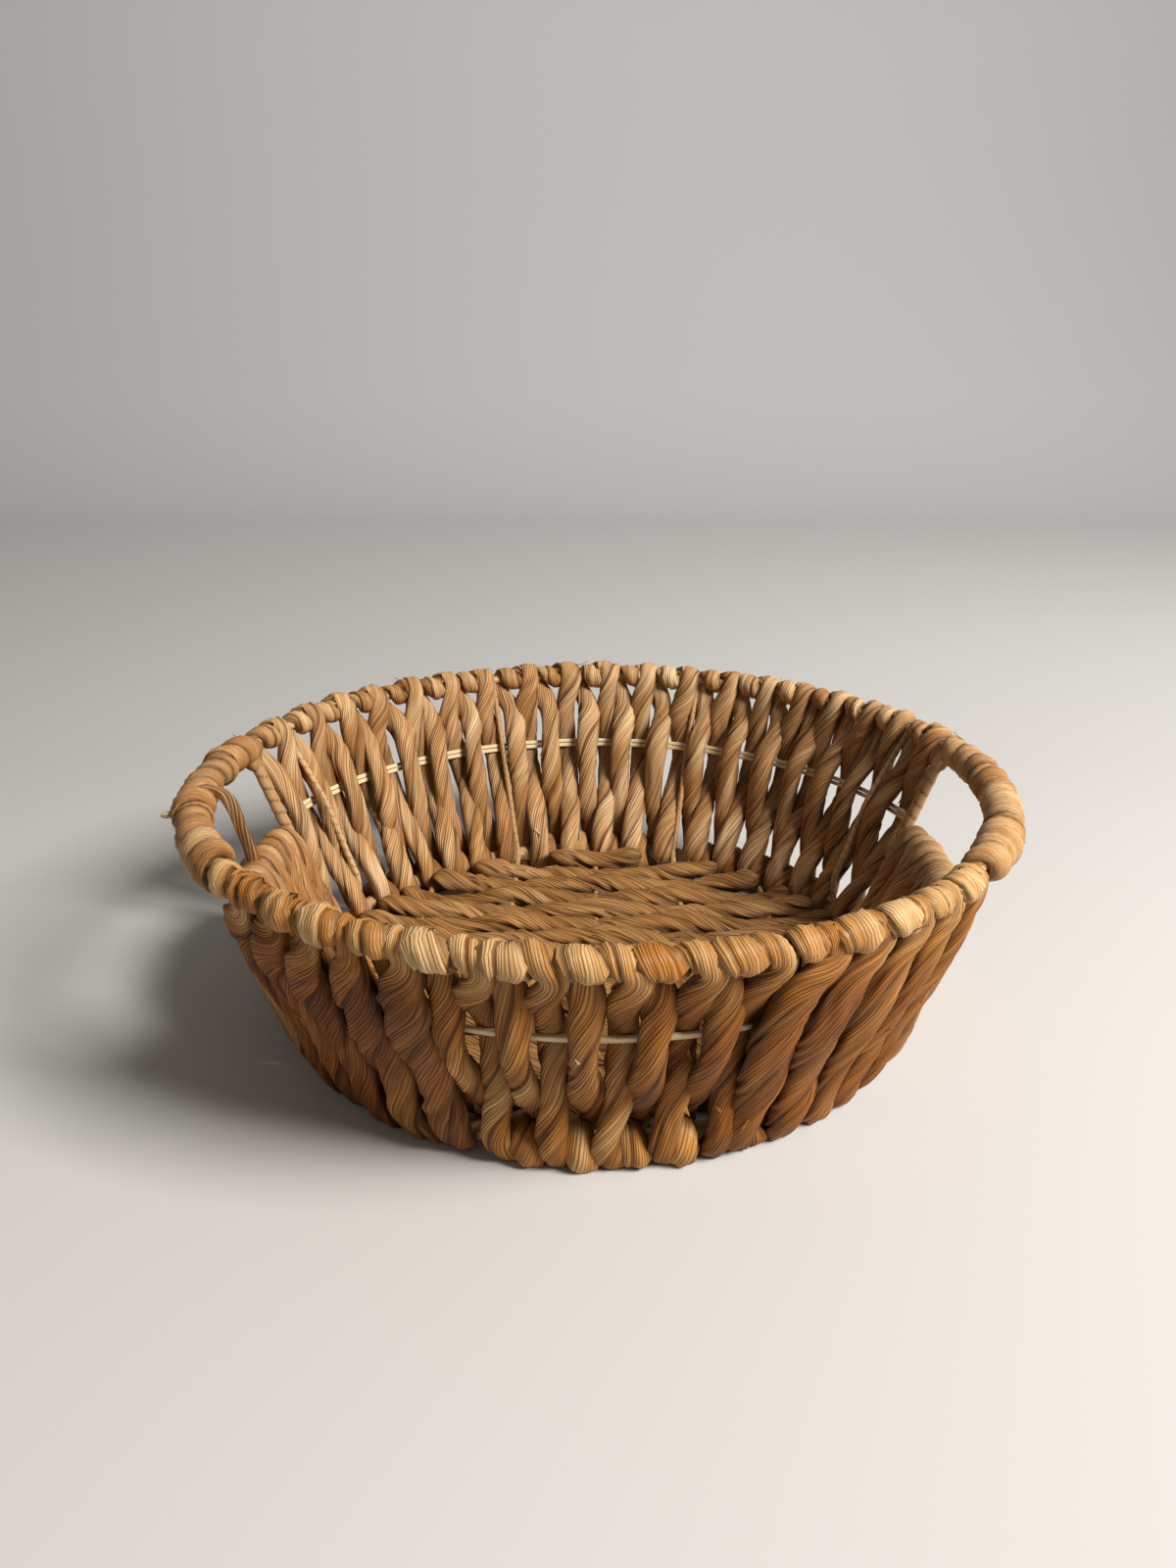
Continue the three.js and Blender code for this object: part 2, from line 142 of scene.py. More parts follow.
def new_material(name):
    material = bpy.data.materials.new(name)
    material.use_nodes = True
    material.node_tree.nodes.clear()
    return material


def add_node(material, kind, inputs, **settings):
    """One shader node. An input is a value, or the socket that feeds it."""
    tree = material.node_tree
    node = tree.nodes.new("ShaderNode" + kind)
    for label, value in settings.items():
        setattr(node, label, value)
    for label, value in inputs.items():
        if isinstance(value, bpy.types.NodeSocket):
            tree.links.new(value, node.inputs[label])
        else:
            node.inputs[label].default_value = value
    return node


def add_maths(material, operation, first, second):
    return add_node(material, "Math", {0: first, 1: second}, operation=operation).outputs[0]


def fibre_noise(material, noise):
    """Noise drawn out along the fibres of a piece, from 0 to 1."""
    per_metre_round, per_metre_along, detail = noise
    fibre = add_node(material, "UVMap", {}, uv_map="fibre").outputs["UV"]
    scale = (per_metre_round, per_metre_along, 1.0)
    drawn = add_node(material, "Mapping", {"Vector": fibre, "Scale": scale}).outputs[0]
    inputs = {"Vector": drawn, "Scale": 1.0, "Detail": detail, "Roughness": noise_roughness}
    return add_node(material, "TexNoise", inputs).outputs[0]


def colour_ramp(material, level, stops):
    node = add_node(material, "ValToRGB", {"Fac": level})
    while len(node.color_ramp.elements) < len(stops):
        node.color_ramp.elements.new(0.5)
    for element, (place, colour) in zip(node.color_ramp.elements, stops):
        element.position = place
        element.color = (*colour, 1.0)
    return node.outputs[0]


def read_point(material, label):
    return add_node(material, "Attribute", {}, attribute_name=label).outputs["Fac"]


def finish_surface(material, colour, roughness, relief, relief_depth):
    """A dry surface with little shine and a fine relief."""
    pressed = {"Height": relief, "Distance": relief_depth, "Strength": relief_strength}
    bump = add_node(material, "Bump", pressed)
    inputs = {"Base Color": colour, "Roughness": roughness, "Normal": bump.outputs[0]}
    inputs["Specular IOR Level"] = dry_shine
    surface = add_node(material, "BsdfPrincipled", inputs)
    add_node(material, "OutputMaterial", {"Surface": surface.outputs[0]})


def cane_material(name, dark, pale):
    """Cane or flat strip: long fine grain, with darker streaks, and painted shade at the edges where a strip
    laps.
    """
    material = new_material(name)
    grain = fibre_noise(material, cane_grain)
    streak = fibre_noise(material, cane_streak)
    level = add_maths(material, "ADD", grain, streak)
    level = add_maths(material, "MULTIPLY", level, 0.5)
    # The depth attribute is painted shade; it darkens the grain.
    level = add_maths(material, "SUBTRACT", level, read_point(material, "depth"))
    colour = colour_ramp(material, level, [(cane_dark_level, dark), (cane_pale_level, pale)])
    finish_surface(material, colour, cane_roughness, grain, cane_relief)
    return material


def add_hoop(name, radius, height, cane, count, step):
    """A ring of cane. With a step it is bound: each turn of the strip ends in a small step down."""
    turn = np.arange(count) / count * 2 * math.pi
    places = np.stack([radius * np.cos(turn), radius * np.sin(turn), np.full(count, height)], axis=1)
    bindings = round(2 * math.pi * radius / binding_pitch)
    around = np.arange(cane_sides) / cane_sides
    share = (bindings * np.arange(count)[:, None] / count + around) % 1.0
    swell = 1.0 + 2 * step / cane * (1.0 - share)
    # Painted shade in the step at the end of each turn of the binding.
    depth = binding_shade * (share > binding_edge) * (step > 0)
    across = np.tile([0.0, 0.0, 1.0], (count, 1))
    rings = lay_rings(places, across, cane, cane, swell, is_hoop=True)
    return add_skin(name, rings, math.pi * cane, turn * radius, depth=depth, is_hoop=True)


cane_skin = cane_material("peeled_cane", (0.30, 0.15, 0.055), (0.62, 0.40, 0.19))
rim_hoop = add_hoop("rim_cane", rim_radius, rim_height, rim_cane, rim_steps, 0.0)
fit_piece(rim_hoop, cane_skin, "cane", "rim_hoop")

bound_leaf = cane_material("bound_leaf", (0.20, 0.10, 0.038), (0.50, 0.31, 0.145))
base_hoop = add_hoop("base_cane_bound", base_radius, base_height, base_cane, base_steps, binding_step)
fit_piece(base_hoop, bound_leaf, "cane", "base_hoop")

# Posts and ribs. Four stout canes bound with thin strip stand beside the handle openings. Thinner canes,
# the ribs, divide the wall; two of them go on under the floor from the back rim to the front rim.
post_cane = 0.0055
rib_cane = 0.003
opening_angle = 50.0
handle_forward = 12.0
back_middle = 90
front_middle = 270
rib_angle = 20.3
rib_clear = 0.0006
side_rib_angle = 23.21
side_rib_bow = -0.0068
splint_height = 0.064
splint_thickness = 0.0016
floor_height = 0.00695
post_binding_pitch = 0.0062
post_binding_step = 0.0003
rib_binding_pitch = 0.0045
rib_binding_step = 0.0002
strip_edge = 0.88
strip_shade = 0.3
bend_spacing = 0.008
bare_spacing = 0.002
bound_spacing = 0.0008
fewest_rows = 8

slope_length = math.hypot(rim_radius - base_radius, rim_height - base_height)
slope_out = (rim_radius - base_radius) / slope_length
slope_up = (rim_height - base_height) / slope_length
splint_up = (splint_height - base_height) / slope_up
back_right = opening_angle / 2 - handle_forward
back_left = 180 - back_right
front_left = back_left + opening_angle
front_right = 360 - opening_angle / 2 - handle_forward
side_rib_left = 180 - side_rib_angle


def on_wall(angle, up, out):
    """Place on the cone of the wall: degrees round Z, metres up the slope and metres out from it."""
    radius = base_radius + up * slope_out + out * slope_up
    height = base_height + up * slope_up - out * slope_out
    turn = np.radians(angle)
    return np.stack(np.broadcast_arrays(radius * np.cos(turn), radius * np.sin(turn), height), axis=-1)


def along_hoop(places):
    """Direction round the basket at each place."""
    level = np.stack([-places[:, 1], places[:, 0], np.zeros(len(places))], axis=1)
    return unit(level)


def run_length(places):
    """Metres from the first place to each place."""
    steps = np.linalg.norm(np.diff(places, axis=0), axis=1)
    return np.concatenate([[0.0], np.cumsum(steps)])


def smooth_run(stations, spacing):
    """Even, smooth rows through a few stations, whose first three columns are a place."""
    stations = np.array(stations)
    knots = run_length(stations[:, :3])
    slopes = np.gradient(stations, knots, axis=0)
    at = np.linspace(0.0, knots[-1], max(int(knots[-1] / spacing), fewest_rows))
    low = np.clip(np.searchsorted(knots, at, side="right") - 1, 0, len(knots) - 2)
    span = (knots[low + 1] - knots[low])[:, None]
    share = ((at - knots[low])[:, None]) / span
    start = (2 * share**3 - 3 * share**2 + 1) * stations[low]
    start += (share**3 - 2 * share**2 + share) * span * slopes[low]
    end = (3 * share**2 - 2 * share**3) * stations[low + 1]
    end += (share**3 - share**2) * span * slopes[low + 1]
    return start + end


def add_cane(name, stations, diameter, across, pitch=1.0, step=0.0):
    """A cane through a few corners, which it rounds. With a step it is bound, as a hoop is."""
    corners = run_length(np.array(stations))
    at = np.linspace(0.0, corners[-1], int(corners[-1] / bend_spacing) + 2)
    straight = np.stack([np.interp(at, corners, column) for column in np.array(stations).T], axis=1)
    places = smooth_run(straight, bound_spacing if step else bare_spacing)
    run = run_length(places)
    share = ((run / pitch)[:, None] + np.arange(cane_sides) / cane_sides) % 1.0
    swell = 1.0 + step / diameter * (1.0 - 2 * share)
    # Painted shade in the step at the end of each turn of the strip.
    depth = strip_shade * (share > strip_edge) * (step > 0)
    across = np.broadcast_to(across, places.shape)
    rings = lay_rings(places, across, diameter, diameter, swell)
    return add_skin(name, rings, math.pi * diameter, run, depth=depth)


post_foot = base_cane / 2
post_head = slope_length - rim_cane / 2
bound_strip = cane_material("bound_strip", (0.21, 0.095, 0.032), (0.52, 0.30, 0.13))
posts = {
    "back_right": back_right,
    "back_left": back_left,
    "front_left": front_left,
    "front_right": front_right,
}
for place, angle in posts.items():
    stations = [on_wall(angle, post_foot, 0.0), on_wall(angle, post_head, 0.0)]
    across = along_hoop(np.array(stations))[0]
    name = f"bound_post_{place}"
    piece = add_cane(name, stations, post_cane, across, post_binding_pitch, post_binding_step)
    fit_piece(piece, bound_strip, "cane", f"post_{place}")

for place, angle in {"right": side_rib_angle, "left": side_rib_left}.items():
    stations = [
        on_wall(angle, post_foot, 0.0),
        on_wall(angle, splint_up / 4, side_rib_bow),
        on_wall(angle, splint_up, side_rib_bow),
        on_wall(angle, post_head, 0.0),
    ]
    across = along_hoop(np.array(stations))[0]
    name = f"short_rib_{place}"
    piece = add_cane(name, stations, rib_cane, across, rib_binding_pitch, rib_binding_step)
    fit_piece(piece, cane_skin, "cane", f"side_rib_{place}")

rib_pass = -(splint_thickness + rib_cane) / 2 - rib_clear
rib_foot = -(base_cane + rib_cane) / 2
rib_side = (base_radius + rib_foot * slope_up) * math.sin(math.radians(rib_angle))
rib_bend = (base_radius + rib_foot * slope_up) * math.cos(math.radians(rib_angle)) - base_cane
left_to_right = np.array([1.0, 0.0, 0.0])
for place, side in {"right": 1, "left": -1}.items():
    back = back_middle - side * rib_angle
    front = front_middle + side * rib_angle
    stations = [
        on_wall(back, post_head, 0.0),
        on_wall(back, splint_up, rib_pass),
        on_wall(back, 0.0, rib_foot),
        np.array([side * rib_side, rib_bend, floor_height]),
        np.array([side * rib_side, -rib_bend, floor_height]),
        on_wall(front, 0.0, rib_foot),
        on_wall(front, splint_up, rib_pass),
        on_wall(front, post_head, 0.0),
    ]
    name = f"through_rib_{place}"
    piece = add_cane(name, stations, rib_cane, left_to_right, rib_binding_pitch, rib_binding_step)
    fit_piece(piece, bound_strip, "cane", f"long_rib_{place}")

# Floor. Three more canes lie from front to back between and beside the through ribs, and sixteen thick
# strands of twisted leaf lie across them side by side, each over and under the canes in turn.
floor_rows = 16
floor_radius = 0.119
floor_fill = 0.985
floor_strand_thickness = 0.0092
floor_lift = 0.0017
floor_twist = 0.06
floor_tuck = 0.005
floor_end_rise = 0.0055
floor_fold = 0.34
floor_veins = 560.0
floor_seed = 100
row_press = 1.02
row_drift = 0.0006
row_end_room = 0.012
cane_spots = (-2, -1, 0, 1, 2)

rib_skin = cane_material("brown_cane", (0.20, 0.09, 0.028), (0.46, 0.25, 0.09))
for place, spot in {"left": -2, "centre": 0, "right": 2}.items():
    x = spot * rib_side
    reach = math.sqrt(floor_radius**2 - x**2) - rib_cane
    stations = [[x, -reach, floor_height], [x, reach, floor_height]]
    piece = add_cane(f"cross_cane_{place}", stations, rib_cane, left_to_right)
    fit_piece(piece, rib_skin, "cane", f"floor_cane_{place}")

# Form of a twisted strand: its plies, its pleats, its crown and the edge of each ply
strand_sides = 40
strand_step = 0.0017
table_gap = 0.0002
wall_fold = 0.17
wave_count = 4
wave_spread = (0.6, 1.7)
wave_level = 2.2
ply_spread = 0.25
pleat_count = (1.6, 3.4)
pleat_shift = 0.5
pleat_shift_span = 0.05
pleat_height = 0.22
pleat_span = 0.03
crown_power = 0.7
crown_drop = 0.55
# Painted shadow at the low end of each ply, under the proud edge of the next, and painted shade in the pleat
# valleys
edge_start = 0.86
painted_lap_shadow = 0.9
painted_pleat_shade = 0.16
blunt_end = 0.03
girth_sway = 0.11
girth_span = 0.07
twist_sway = 0.006
twist_span = 0.1
twist_start = 6.0
fibre_shift = 40.0

# Tone of a strand from 0, dark, to 1, pale, and what darkens or smooths it: painted light on the crowns of
# the plies and on the pleats, and painted shade at the sides of a strand and between the legs
middle_tone = 0.5
strand_tone = 0.04
ply_tone = 0.07
drift_tone = 0.09
drift_tone_span = 0.09
painted_crown_light = 0.10
crown_middle = 0.6
painted_pleat_light = 0.03
side_start = 0.82
painted_side_shade = 0.72
sunk_out = 0.0060
painted_sunk_shade = 0.35
sunk_fade = 0.012
slack_bend = 60.0
hard_bend = 200.0
bend_reach = 3

# Torn slips of leaf
slip_count = 4
slip_margin = 12
slip_offset = 0.35
slip_root = 0.44
slip_slant = 0.9
slip_length = (0.003, 0.008)
slip_lift = (0.1, 0.5)
slip_width = (0.0009, 0.0021)
slip_thickness = 0.0004
slip_girth = 0.006
slip_rows = 8
slip_sides = 6
slip_point = 1.05
slip_taper = 0.7
slip_tone = 0.62
slip_tone_spread = (-0.2, 0.3)


def wander(run, span, chance):
    """Slow seeded drift along a run, from about -1 to 1."""
    waves = chance.uniform(*wave_spread, wave_count)
    starts = chance.uniform(0.0, 2 * math.pi, wave_count)
    return np.sin(run[:, None] / span * 2 * math.pi * waves + starts).sum(axis=1) / wave_level


def twist_leaf(run, chance, fold, plies):
    """Swell, tone and depth, which is painted shade, of a strand of rolled leaf: the edge of each ply lies
    over the one before it.
    """
    shares = chance.uniform(1.0 - ply_spread, 1.0 + ply_spread, plies)
    edges = np.round(np.append(0.0, np.cumsum(shares) / shares.sum()) * strand_sides).astype(int)
    swell = np.ones((len(run), strand_sides))
    tone = np.full((len(run), strand_sides), middle_tone)
    depth = np.zeros((len(run), strand_sides))
    for low, high in zip(edges[:-1], edges[1:]):
        across = (np.arange(high - low) + 0.5) / (high - low)
        shift = pleat_shift * wander(run, pleat_shift_span, chance)[:, None]
        pleats = np.cos(2 * math.pi * (chance.uniform(*pleat_count) * across + shift))
        crown = np.sin(math.pi * across) ** crown_power
        height = 1.0 - crown_drop * fold * (1.0 - crown) + fold * (0.5 - across)
        pleat_sway = 1.0 + wander(run, pleat_span, chance)[:, None]
        swell[:, low:high] = height + pleat_height * fold * pleat_sway * pleats
        mood = middle_tone + chance.uniform(-ply_tone, ply_tone)
        mood = mood + drift_tone * wander(run, drift_tone_span, chance)[:, None]
        # Painted light: the crown of each ply and the crests of its pleats are paler, its sides and pleat
        # valleys darker.
        tone[:, low:high] = mood + painted_crown_light * (crown - crown_middle) + painted_pleat_light * pleats
        # Painted shadow at the low end of each ply, under the proud edge of the next, and painted shade in
        # the pleat valleys.
        lapped = np.clip((across - edge_start) / (1.0 - edge_start), 0.0, painted_lap_shadow)
        depth[:, low:high] = lapped + np.clip(-painted_pleat_shade * pleats, 0.0, 1.0)
    return swell, tone, np.clip(depth, 0.0, 1.0)


def tear_slips(rows, across, chance, count):
    """Small torn slips of leaf that lift off a strand."""
    slips = []
    for slip in range(count):
        at = int(chance.integers(slip_margin, len(rows) - slip_margin))
        ahead = unit(rows[at + 1, :3] - rows[at - 1, :3])
        side = unit(across[at])
        face = unit(np.cross(ahead, side)) * chance.choice([-1.0, 1.0])
        offset = chance.uniform(-slip_offset, slip_offset)
        start = rows[at, :3] + offset * rows[at, 3] * side
        start = start + slip_root * rows[at, 4] * math.sqrt(1.0 - 4 * offset**2) * face
        heading = unit(chance.choice([-1.0, 1.0]) * ahead + chance.uniform(-slip_slant, slip_slant) * side)
        length = chance.uniform(*slip_length)
        share = np.linspace(0.0, 1.0, slip_rows)[:, None]
        places = start + length * (share * heading + chance.uniform(*slip_lift) * share**2 * face)
        width = chance.uniform(*slip_width) * (slip_point - share[:, 0]) ** slip_taper
        flat = np.tile(np.cross(heading, face), (slip_rows, 1))
        rings = lay_rings(places, flat, width, slip_thickness, np.ones((slip_rows, slip_sides)))
        rings[..., 2] = np.maximum(rings[..., 2], table_gap)
        tone = slip_tone + chance.uniform(*slip_tone_spread)
        slips.append(add_skin(f"slip_{slip}", rings, slip_girth, run_length(places), tone))
    return slips


def join_pieces(pieces):
    with bpy.context.temp_override(active_object=pieces[0], selected_editable_objects=pieces):
        bpy.ops.object.join()
    return pieces[0]


def sunk_shade(rings):
    """Painted shade: leaf between the legs, near the middle of the wall, is painted darker than on their
    crowns.
    """
    reach = np.hypot(rings[..., 0], rings[..., 1]) - base_radius
    rise = rings[..., 2] - base_height
    out = np.abs(reach * slope_up - rise * slope_out)
    up = reach * slope_out + rise * slope_up
    below_rim = np.clip((slope_length - up) / sunk_fade, 0.0, 1.0)
    return painted_sunk_shade * np.clip(1.0 - out / sunk_out, 0.0, 1.0) * below_rim


def tightness(places, run):
    """How hard a run bends, from 0 to 1. Leaf drawn round a cane lies smooth there."""
    heading = unit(np.gradient(places, run, axis=0))
    bend = np.linalg.norm(np.gradient(heading, run, axis=0), axis=1)
    window = 2 * bend_reach + 1
    even = np.convolve(np.pad(bend, bend_reach, mode="edge"), np.full(window, 1 / window), mode="valid")
    return np.clip((even - slack_bend) / (hard_bend - slack_bend), 0.0, 1.0)


def add_strand(name, rows, across, chance, twist, fold=wall_fold, plies=2, slips=slip_count, is_wall=True):
    """A twisted leaf strand along rows of place, width, thickness and added tone."""
    places = rows[:, :3]
    run = run_length(places)
    swell, tone, depth = twist_leaf(run, chance, fold, plies)
    to_end = np.minimum(run, run[-1] - run) / rows[:, 4].mean()
    taper = np.sqrt(1.0 - (1.0 - np.clip(to_end, blunt_end, 1.0)) ** 2)
    girth_drift = 1.0 + girth_sway * wander(run, girth_span, chance)
    width = rows[:, 3] * taper * girth_drift
    thickness = rows[:, 4] * taper * girth_drift
    turn = 2 * math.pi * (run + twist_sway * wander(run, twist_span, chance)) / twist
    turn = turn + chance.uniform(0.0, twist_start)
    rings = lay_rings(places, across, width, thickness, swell, turn)
    rings[..., 2] = np.maximum(rings[..., 2], table_gap)
    girth = math.pi * (rows[:, 3] + rows[:, 4]).mean() / 2
    tone = tone + rows[:, 5:6] + chance.uniform(-strand_tone, strand_tone)
    # Painted shade along the two sides of a strand, where it presses on its neighbours.
    around = np.arange(strand_sides) / strand_sides * 2 * math.pi + turn[:, None]
    beside = np.clip((np.abs(np.cos(around)) - side_start) / (1.0 - side_start), 0.0, 1.0)
    depth = np.maximum(depth, painted_side_shade * beside)
    # On a wall, painted shade between the legs near the middle of the wall.
    if is_wall:
        depth = np.maximum(depth, sunk_shade(rings))
    fibre_run = run + chance.uniform(0.0, fibre_shift)
    strand = add_skin(name, rings, girth, fibre_run, tone, depth, tightness(places, run)[:, None])
    return join_pieces([strand, *tear_slips(rows, across, chance, slips)])


# Finish of dried leaf: the noises, then the swing of tone, the dark lines, the relief and the shine
hair_noise = (2400.0, 20.0, 2.0)
drift_noise = (150.0, 14.0, 2.0)
pressure_noise = (480.0, 24.0, 1.0)
age_noise = (60.0, 6.0, 1.0)
noise_middle = 0.5
vein_crest = 0.5
vein_wander = 3.0
vein_press = 1.2
bend_calm = 0.62
vein_swing = 0.34
hair_swing = 0.75
drift_swing = 0.45
grey_ages = (0.50, 0.72)
grey_most = 0.4
line_crests = (0.03, 0.17)
line_pressures = (0.40, 0.60)
line_faint = 0.15
crease_and_shade_dark = 0.85
hair_relief = 0.3
crease_relief = 0.5
leaf_relief = 0.0006
slack_roughness = 0.60
tight_roughness = 0.42


def mix_colour(material, factor, first, second):
    """Sockets 0, 6 and 7 of a colour mix are its factor and its two colours."""
    node = add_node(material, "Mix", {0: factor, 6: first, 7: second}, data_type="RGBA")
    return node.outputs[2]


def map_range(material, value, low, high, from_value, to_value):
    inputs = {"Value": value, 1: low, 2: high, 3: from_value, 4: to_value}
    return add_node(material, "MapRange", inputs).outputs[0]


def leaf_material(name, stops, weathered, crease_and_shade, veins_per_metre):
    """Dried leaf: even fine veins, some of them dark creases with painted shade in them, painted shade in
    the folds, satin on the bends.
    """
    material = new_material(name)
    fibre = add_node(material, "UVMap", {}, uv_map="fibre").outputs["UV"]
    round_strand = add_node(material, "SeparateXYZ", {"Vector": fibre}).outputs["X"]
    hairs = fibre_noise(material, hair_noise)
    drift = fibre_noise(material, drift_noise)
    pressure = fibre_noise(material, pressure_noise)
    age = fibre_noise(material, age_noise)
    tight = read_point(material, "tight")
    calm = map_range(material, tight, 0.0, 1.0, 1.0, bend_calm)

    phase = add_maths(material, "MULTIPLY", round_strand, veins_per_metre)
    phase = add_maths(material, "ADD", phase, add_maths(material, "MULTIPLY", drift, vein_wander))
    phase = add_maths(material, "ADD", phase, add_maths(material, "MULTIPLY", pressure, vein_press))
    ridge = add_maths(material, "PINGPONG", phase, vein_crest)

    level = read_point(material, "tone")
    swings = [
        (ridge, vein_crest / 2, vein_swing),
        (hairs, noise_middle, hair_swing),
        (drift, noise_middle, drift_swing),
    ]
    for pattern, middle, strength in swings:
        swing = add_maths(material, "MULTIPLY", add_maths(material, "SUBTRACT", pattern, middle), strength)
        level = add_maths(material, "ADD", level, add_maths(material, "MULTIPLY", swing, calm))
    colour = colour_ramp(material, level, stops)
    greying = map_range(material, age, *grey_ages, 0.0, grey_most)
    colour = mix_colour(material, greying, colour, (*weathered, 1.0))

    # Dark crease lines, partly darker fibre and partly painted shade in the creases, and the painted shade
    # of depth are mixed towards the crease colour.
    line = map_range(material, ridge, *line_crests, 1.0, 0.0)
    force = map_range(material, pressure, *line_pressures, line_faint, 1.0)
    force = add_maths(material, "MULTIPLY", force, calm)
    dark = add_maths(material, "MULTIPLY", line, force)
    dark = add_maths(material, "MAXIMUM", dark, read_point(material, "depth"))
    shade = add_maths(material, "MULTIPLY", dark, crease_and_shade_dark)
    shaded = mix_colour(material, shade, colour, (*crease_and_shade, 1.0))

    relief = add_maths(material, "ADD", ridge, add_maths(material, "MULTIPLY", hairs, hair_relief))
    relief = add_maths(material, "SUBTRACT", relief, add_maths(material, "MULTIPLY", dark, crease_relief))
    relief = add_maths(material, "MULTIPLY", relief, calm)
    roughness = map_range(material, tight, 0.0, 1.0, slack_roughness, tight_roughness)
    finish_surface(material, shaded, roughness, relief, leaf_relief)
    return material


floor_leaf = leaf_material(
    "floor_leaf",
    [
        (0.05, (0.070, 0.024, 0.005)),
        (0.35, (0.22, 0.093, 0.023)),
        (0.65, (0.40, 0.195, 0.060)),
        (0.95, (0.58, 0.355, 0.150)),
    ],
    (0.27, 0.145, 0.060),
    (0.024, 0.010, 0.003),
    floor_veins,
)

row_pitch = 2 * floor_radius * floor_fill / floor_rows
for row in range(floor_rows):
    chance = np.random.default_rng(floor_seed + row)
    y = (row - (floor_rows - 1) / 2) * row_pitch
    reach = math.sqrt(floor_radius**2 - (abs(y) + row_pitch / 2) ** 2) + floor_tuck
    size = [row_pitch * row_press, floor_strand_thickness, 0.0]
    stations = [[-reach, y, floor_height + floor_end_rise, *size]]
    for spot in cane_spots:
        x = spot * rib_side
        lift = floor_lift if (row + spot) % 2 else -floor_lift
        if abs(x) < reach - row_end_room:
            stations.append([x, y + chance.normal(0.0, row_drift), floor_height + lift, *size])
    stations.append([reach, y, floor_height + floor_end_rise, *size])
    rows = smooth_run(stations, strand_step)
    across = np.tile([0.0, 1.0, 0.0], (len(rows), 1))
    name = f"floor_row_{row + 1:02d}"
    piece = add_strand(name, rows, across, chance, floor_twist, floor_fold, is_wall=False)
    fit_piece(piece, floor_leaf, "floor_leaf", f"floor_strand_{row + 1:02d}")

# Splints and rails. Thin split canes run along the middle of the woven walls and hold the legs of the
# strands in front and behind. A round rail closes each handle opening below, from post to post.
back_splint_width = 0.002
front_splint_width = 0.0027
splint_gap = 0.0003
splint_radius = 0.150
strip_square = 6
rail_cane = 0.004
rail_height = 0.057
rib_room = 1.14
rail_up = (rail_height - base_height) / slope_up
split_cane = cane_material("split_cane", (0.52, 0.34, 0.15), (0.78, 0.62, 0.36))


def add_wall_strip(name, start, end, up, width, thickness):
    """A strip along the wall between two angles: squared where it is flat, and round where it is not."""
    angles = np.linspace(start, end, int(abs(end - start)) + 2)
    places = on_wall(angles, up, 0.0)
    across = on_wall(angles, up + width, 0.0) - places
    around = np.arange(cane_sides) / cane_sides * 2 * math.pi
    powers = np.abs(np.cos(around)) ** strip_square + np.abs(np.sin(around)) ** strip_square
    squared = powers ** (-1 / strip_square)
    swell = np.tile(squared if thickness < width else np.ones(cane_sides), (len(places), 1))
    rings = lay_rings(places, across, width, thickness, swell)
    return add_skin(name, rings, 2 * (width + thickness), run_length(places))


post_side = math.degrees(post_cane / 2 / splint_radius)
for place, side in {"upper": 1, "lower": -1}.items():
    up = splint_up + side * (back_splint_width + splint_gap) / 2
    start = back_right + post_side
    end = back_left - post_side
    name = f"split_cane_back_{place}"
    strip = add_wall_strip(name, start, end, up, back_splint_width, splint_thickness)
    fit_piece(strip, split_cane, "split_cane", f"splint_back_{place}")

start = front_middle - rib_angle + rib_room
end = front_middle + rib_angle - rib_room
strip = add_wall_strip("split_cane_front", start, end, splint_up, front_splint_width, splint_thickness)
fit_piece(strip, split_cane, "split_cane", "splint_front")

openings = [("left", back_left, front_left), ("right", front_right, back_right + 360)]
for place, start, end in openings:
    name = f"low_rail_{place}"
    rail = add_wall_strip(name, start + post_side, end - post_side, rail_up, rail_cane, rail_cane)
    fit_piece(rail, cane_skin, "cane", f"handle_rail_{place}")

# Woven walls, at the back and in the middle of the front. Each pair of legs is one twisted leaf strand:
# up in front of the splint, round the rim, down behind the splint, and round the base to the next pair.
leg_width = 0.0108
leg_thickness = 0.0080
low_leg_width = 0.0110
high_leg_width = 0.0118
knob_share = 0.57
knob_thickness = 0.0086
loop_share = 0.45
loop_thickness = 0.0074
foot_width = 0.0108
foot_plump = 0.0006
foot_knob_width = 0.0116
foot_knob_plump = 0.0012
foot_knob_shift = 0.6
foot_knob_lift = 0.0008
arch_width = 0.0100
arch_dip = 0.0006
rim_wrap = 0.0028
base_wrap = 0.0058
wrap_step = 30
wall_twist = 0.070
wall_veins = 820.0
front_veins = 880.0
pairs_per_strand = 3
woven_seed = 200
seed_stride = 10

# Shares of the room of a pair, in order round the basket: rising leg and falling leg, by wall
right_legs = (0.30, 0.76)
back_legs = (0.24, 0.77)
left_legs = (0.14, 0.86)
front_legs = (0.24, 0.76)
high_legs = (0.29, 0.71)
foot_share = 0.31
loop_margin = 0.125

# Degrees: drift of legs and loops, and room or lap beside posts and ribs
leg_drift = 0.35
loop_drift = 0.25
post_room = 1.70
rib_lap = 0.5
front_lap = -0.3

# Added tones, and the metres by which a knob stands off the rim hoop. The back tone is painted light and the
# front tone painted shade.
back_light_tone = 0.08
front_shade_tone = -0.12
rim_tone = 0.13
knob_tones = (-0.03, 0.06)
loop_tones = (-0.05, 0.02)
knob_rise = (0.0003, 0.0010)
foot_tone = -0.04
foot_shade = 0.05
foot_knob_tones = (-0.1, 0.08)
arch_tone = -0.12

high_crossing = (splint_up + slope_length) / 2
low_crossing = splint_up / 2
splint_pass = (splint_thickness + leg_thickness) / 2

